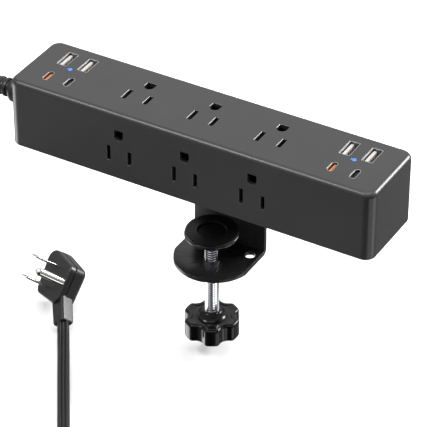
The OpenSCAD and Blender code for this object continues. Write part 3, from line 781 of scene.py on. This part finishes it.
def make_lenses():
    profile = [(0, 30.6), (1.4, 30.6), (1.4, TOP_Z - 0.25), (1.3, TOP_Z - 0.1), (1.1, TOP_Z - 0.02),
               (0.6, TOP_Z + 0.08), (0, TOP_Z + 0.1)]
    lenses = [moved(lathe(profile, 32), Matrix.Translation((x, LAMP_Y, 0))) for x in GROUP_X]
    port_piece("lamp_lenses", lenses, "blue_lens", "indicator_lenses", 50)


make_cover()
make_rectangular_ports()
make_oval_ports()
make_lenses()

# ---------------------------------------------------------------- clamp

SCREW = Matrix.Translation((0, 4.8, 0))
ROD_LOW, ROD_HIGH = -99.0, -41.1
THREAD_PITCH, THREAD_CREST, THREAD_ROOT = 1.5, 4.0, 3.2
THREAD_STEPS = 40
END_CUT = 0.9
NECK_R, NECK_TOP = 2.5, -35.0
KNOB_R = 15.9
KNOB_LOBES = 6
KNOB_STEPS = 240
KNOB_AVERAGES = 5
SCALLOP_R, SCALLOP_AT = 5.2, 18.4
KNOB_LOW, KNOB_HIGH = -101.0, -90.0
KNOB_FOOT_ROUND, KNOB_BROW_ROUND = 1.3, 1.6
PAD_TOP = -32.8
PAD_R = 15.0


def make_rod():
    """Rod with a real right-hand thread, and the plain neck that turns in the pad."""
    end_r = THREAD_ROOT - 0.3
    # (share of the pitch, radius) up one turn of the thread
    levels = ((0.0, THREAD_ROOT), (0.16, THREAD_ROOT), (0.36, THREAD_CREST), (0.74, THREAD_CREST),
              (0.94, THREAD_ROOT), (1.0, THREAD_ROOT))
    turns = int((ROD_HIGH - ROD_LOW) / THREAD_PITCH) + 2
    rings = []
    for k in range(turns * THREAD_STEPS + 1):
        a = 2 * math.pi * k / THREAD_STEPS
        start = ROD_LOW - THREAD_PITCH + k * THREAD_PITCH / THREAD_STEPS
        ring = []
        for share, r in levels:
            z = min(ROD_HIGH, max(ROD_LOW, start + share * THREAD_PITCH))
            from_end = min(1.0, (ROD_HIGH - z) / END_CUT, (z - ROD_LOW) / END_CUT)
            r = min(r, end_r + 1.2 * max(0.0, from_end))
            ring.append((r * math.cos(a), r * math.sin(a), z))
        rings.append(ring)
    skin = loft(rings, closed_ring=False, cap_start=False, cap_end=False)
    neck = lathe([(end_r, ROD_HIGH), (NECK_R + 0.1, ROD_HIGH + 0.25), (NECK_R, ROD_HIGH + 0.4),
                  (NECK_R, NECK_TOP - 0.1), (NECK_R - 0.2, NECK_TOP), (0, NECK_TOP)], THREAD_STEPS)
    low_end = lathe([(0, ROD_LOW), (end_r, ROD_LOW)], THREAD_STEPS)
    rod = moved(join(skin, neck, low_end), SCREW)
    obj = add_piece("clamp_screw", rod, "screw", "threaded_steel", 28)
    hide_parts("threaded_rod")


def knob_outline():
    """Star with round lobes: a circle with scallops cut into it, averaged along the outline."""
    radii = []
    for k in range(KNOB_STEPS):
        a = 2 * math.pi * k / KNOB_STEPS
        r = KNOB_R
        for i in range(KNOB_LOBES):
            b = a - math.radians(360 / KNOB_LOBES * (i + 0.5))
            inside = SCALLOP_R ** 2 - (SCALLOP_AT * math.sin(b)) ** 2
            if math.cos(b) > 0 and inside > 0:
                r = min(r, SCALLOP_AT * math.cos(b) - math.sqrt(inside))
        radii.append(r)
    for _ in range(KNOB_AVERAGES):
        radii = [(radii[i - 1] + 2 * radii[i] + radii[(i + 1) % KNOB_STEPS]) / 4 for i in range(KNOB_STEPS)]
    grow = KNOB_R / max(radii)
    return [(grow * r * x, grow * r * y) for r, (x, y) in zip(radii, circle(1, KNOB_STEPS))]


def make_knob():
    outline = knob_outline()
    quarter = arc(0, 0, 1, 0, 90, 6)

    def lobed(inset, z):
        return at_height(offset_outline(outline, inset), z)

    def round_ring(r, z):
        return at_height(circle(r, KNOB_STEPS), z)

    # Underside: a ring around the rod's hole, then out to the lobes and over their lower edge
    rings = [round_ring(4.5, KNOB_LOW + 1.2), round_ring(6.5, KNOB_LOW + 1.2), round_ring(7.0, KNOB_LOW)]
    rings.append(lobed(2.4, KNOB_LOW))
    rings += [lobed(KNOB_FOOT_ROUND * (1 - z), KNOB_LOW + KNOB_FOOT_ROUND * (1 - x)) for x, z in quarter]
    # Top: over the upper edge, into a shallow dish, then up the hub
    rings += [lobed(KNOB_BROW_ROUND * (1 - x), KNOB_HIGH - KNOB_BROW_ROUND * (1 - z)) for x, z in quarter]
    rings.append(lobed(2.6, KNOB_HIGH))
    dish = [Vector(p[:2]).lerp(Vector(q), 0.45) for p, q in zip(rings[-1], circle(10.2, KNOB_STEPS))]
    rings.append(at_height(dish, KNOB_HIGH - 0.45))
    rings += [round_ring(r, KNOB_HIGH + rise)
              for r, rise in ((9.4, -0.5), (8.2, -0.1), (7.2, 0.7), (6.4, 1.8), (5.9, 2.8), (5.5, 3.3),
                              (5.0, 3.5), (4.2, 3.5), (4.05, 2.5))]
    obj = add_piece("clamp_knob", moved(loft(rings, cap_end=False), SCREW), "screw", "knob_plastic", 50)
    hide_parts("knob")


def pad_part(name, profile, segments, body, material_slot, smooth, node):
    """Turned part from (radius, depth under the pad's face) points."""
    part = lathe([(r, PAD_TOP - depth) for r, depth in profile], segments)
    obj = add_piece(name, moved(part, SCREW), body, material_slot, smooth)
    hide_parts(node)


def make_pad():
    hole_r = NECK_R + 0.06
    body = [(hole_r, 8), (5.4, 8), (5.9, 7.8), (6.3, 7.2), (8.6, 5.2), (10.8, 3.9), (13.8, 3.5), (14.6, 3.3),
            (PAD_R, 2.7), (PAD_R, 1.9), (14.8, 1.45), (14.5, 1.25), (7.6, 1.25), (7.3, 1.5), (7.2, 2.0),
            (7.2, 4.6), (hole_r, 4.6), (hole_r, 8)]
    pad_part("clamp_pad", body, 96, "pad", "pad_plastic", 40, "pressure_pad")
    facing = [(7.85, 1.2), (14.6, 1.2), (14.6, 0.55), (14.45, 0.2), (14.1, 0), (13.0, 0), (12.4, 0.12),
              (9.0, 0.12), (8.6, 0), (8.15, 0), (7.95, 0.15), (7.85, 0.4), (7.85, 1.2)]
    pad_part("pad_ring", facing, 96, "pad", "pad_rubber", 35, "pad_facing")
    rivet = [(0, 4.3), (4.5, 4.3), (4.6, 4.2), (4.6, 3.5), (4.2, 3.0), (3.0, 2.72), (0, 2.68)]
    pad_part("pad_rivet", rivet, 48, "screw", "pad_plastic", 50, "pad_retainer")


make_rod()
make_knob()
make_pad()

# ---------------------------------------------------------------- CAD nodes that stay

EDGE_WIDTH = {"bracket": 0.3, "bracket_liner": 0.2, "base_plate": 0.3, "case_screws": 0.15,
              "bracket_screws": 0.15}
SHARP_ANGLE, BEVEL_ANGLE = 32, 40


def dress_cad():
    slots = {row["node"]: row["material_slot"] for row in frame["record"]["subparts"]}
    for name, node in frame["nodes"].items():
        if node.hide_render:
            continue
        node.data.materials.clear()
        node.data.materials.append(MATERIALS[slots[name]])
        node.data.shade_smooth()
        node.data.set_sharp_from_angle(angle=math.radians(SHARP_ANGLE))
        if name in EDGE_WIDTH:
            merge = node.modifiers.new("merge", "WELD")
            merge.merge_threshold = DEGENERATE_EDGE
            bevel = node.modifiers.new("edge", "BEVEL")
            bevel.width = EDGE_WIDTH[name] * MM
            bevel.segments = 2
            bevel.limit_method = "ANGLE"
            bevel.angle_limit = math.radians(BEVEL_ANGLE)
            bevel.harden_normals = True


dress_cad()

# ---------------------------------------------------------------- floor and light

FLOOR_HALF = 6.0
# name, direction from the object, distance, width and height, power in watts
LIGHTS = (
    ("key_rear", (-0.41, 0.70, 0.58), 1.6, (1.3, 0.9), 2.0),
    ("side_right", (0.52, 0.72, 0.42), 1.3, (0.42, 0.42), 24),
    ("front_left", (-0.41, -0.40, 0.82), 1.5, (0.4, 0.4), 11),
    ("overhead", (0.1, 0.0, 1.0), 1.8, (1.6, 1.2), 22),
)
# Lobes of the studio seen in reflections: direction, cosines where each starts and ends, levels there
SKY = ((0, 0, 1), -0.9, 0.9, 0.3, 0.95)
SHADE = ((0.50, -0.70, -0.50), 0.30, 0.80, 1.0, 0.02)
PANELS = (
    ((0.705, -0.409, -0.579), 0.965, 0.995, 0.0, 2.6),
    ((-0.41, -0.705, -0.58), 0.85, 0.98, 0.0, 0.35),
    ((-0.80, -0.10, -0.58), 0.93, 0.985, 0.0, 5.0),
    ((0.84, 0.12, -0.53), 0.955, 0.99, 0.0, 3.0),
)


def make_floor():
    mesh = bpy.data.meshes.new("floor")
    corners = [(x * FLOOR_HALF, y * FLOOR_HALF, GROUND * MM) for x, y in ((-1, -1), (1, -1), (1, 1), (-1, 1))]
    mesh.from_pydata(corners, [], [(0, 1, 2, 3)])
    floor = linked("floor", mesh)
    finish_of("floor_paper", (0.86, 0.86, 0.86), (0.88, 0.88, 0.88), 0.6, cloud=2.0)
    mesh.materials.append(MATERIALS["floor_paper"])
    floor.visible_glossy = False


def area_light(name, toward, distance, size, power):
    """A soft panel standing in the given direction from the object, facing it."""
    data = bpy.data.lights.new(name, "AREA")
    data.shape = "RECTANGLE"
    data.size, data.size_y = size
    data.energy = power
    light = linked(name, data)
    direction = Vector(toward).normalized()
    light.location = direction * distance
    light.rotation_mode = "QUATERNION"
    light.rotation_quaternion = direction.to_track_quat("Z", "Y")


def make_world():
    """Studio seen in reflections: pale overhead, darker low in front, with soft panels."""
    world = bpy.data.worlds.new("studio")
    bpy.context.scene.world = world
    world.use_nodes = True
    nodes, links = world.node_tree.nodes, world.node_tree.links
    background = nodes["Background"]
    coords = nodes.new("ShaderNodeTexCoord")

    def combine(operation, a, b):
        node = nodes.new("ShaderNodeMath")
        node.operation = operation
        links.new(a, node.inputs[0])
        links.new(b, node.inputs[1])
        return node.outputs["Value"]

    def lobe(direction, inner, outer, low, high):
        """Level that changes from low to high as a ray nears a direction."""
        dot = nodes.new("ShaderNodeVectorMath")
        dot.operation = "DOT_PRODUCT"
        dot.inputs[1].default_value = Vector(direction).normalized()
        links.new(coords.outputs["Generated"], dot.inputs[0])
        step = nodes.new("ShaderNodeMapRange")
        step.interpolation_type = "SMOOTHSTEP"
        for socket, value in (("From Min", inner), ("From Max", outer), ("To Min", low), ("To Max", high)):
            step.inputs[socket].default_value = value
        links.new(dot.outputs["Value"], step.inputs["Value"])
        return step.outputs["Result"]

    level = combine("MULTIPLY", lobe(*SKY), lobe(*SHADE))
    for panel in PANELS:
        level = combine("ADD", level, lobe(*panel))
    grey_level = nodes.new("ShaderNodeCombineColor")
    for channel in ("Red", "Green", "Blue"):
        links.new(level, grey_level.inputs[channel])
    links.new(grey_level.outputs["Color"], background.inputs["Color"])


def make_light():
    bpy.context.scene.view_settings.view_transform = "Standard"
    make_world()
    for light in LIGHTS:
        area_light(*light)


make_floor()
make_light()
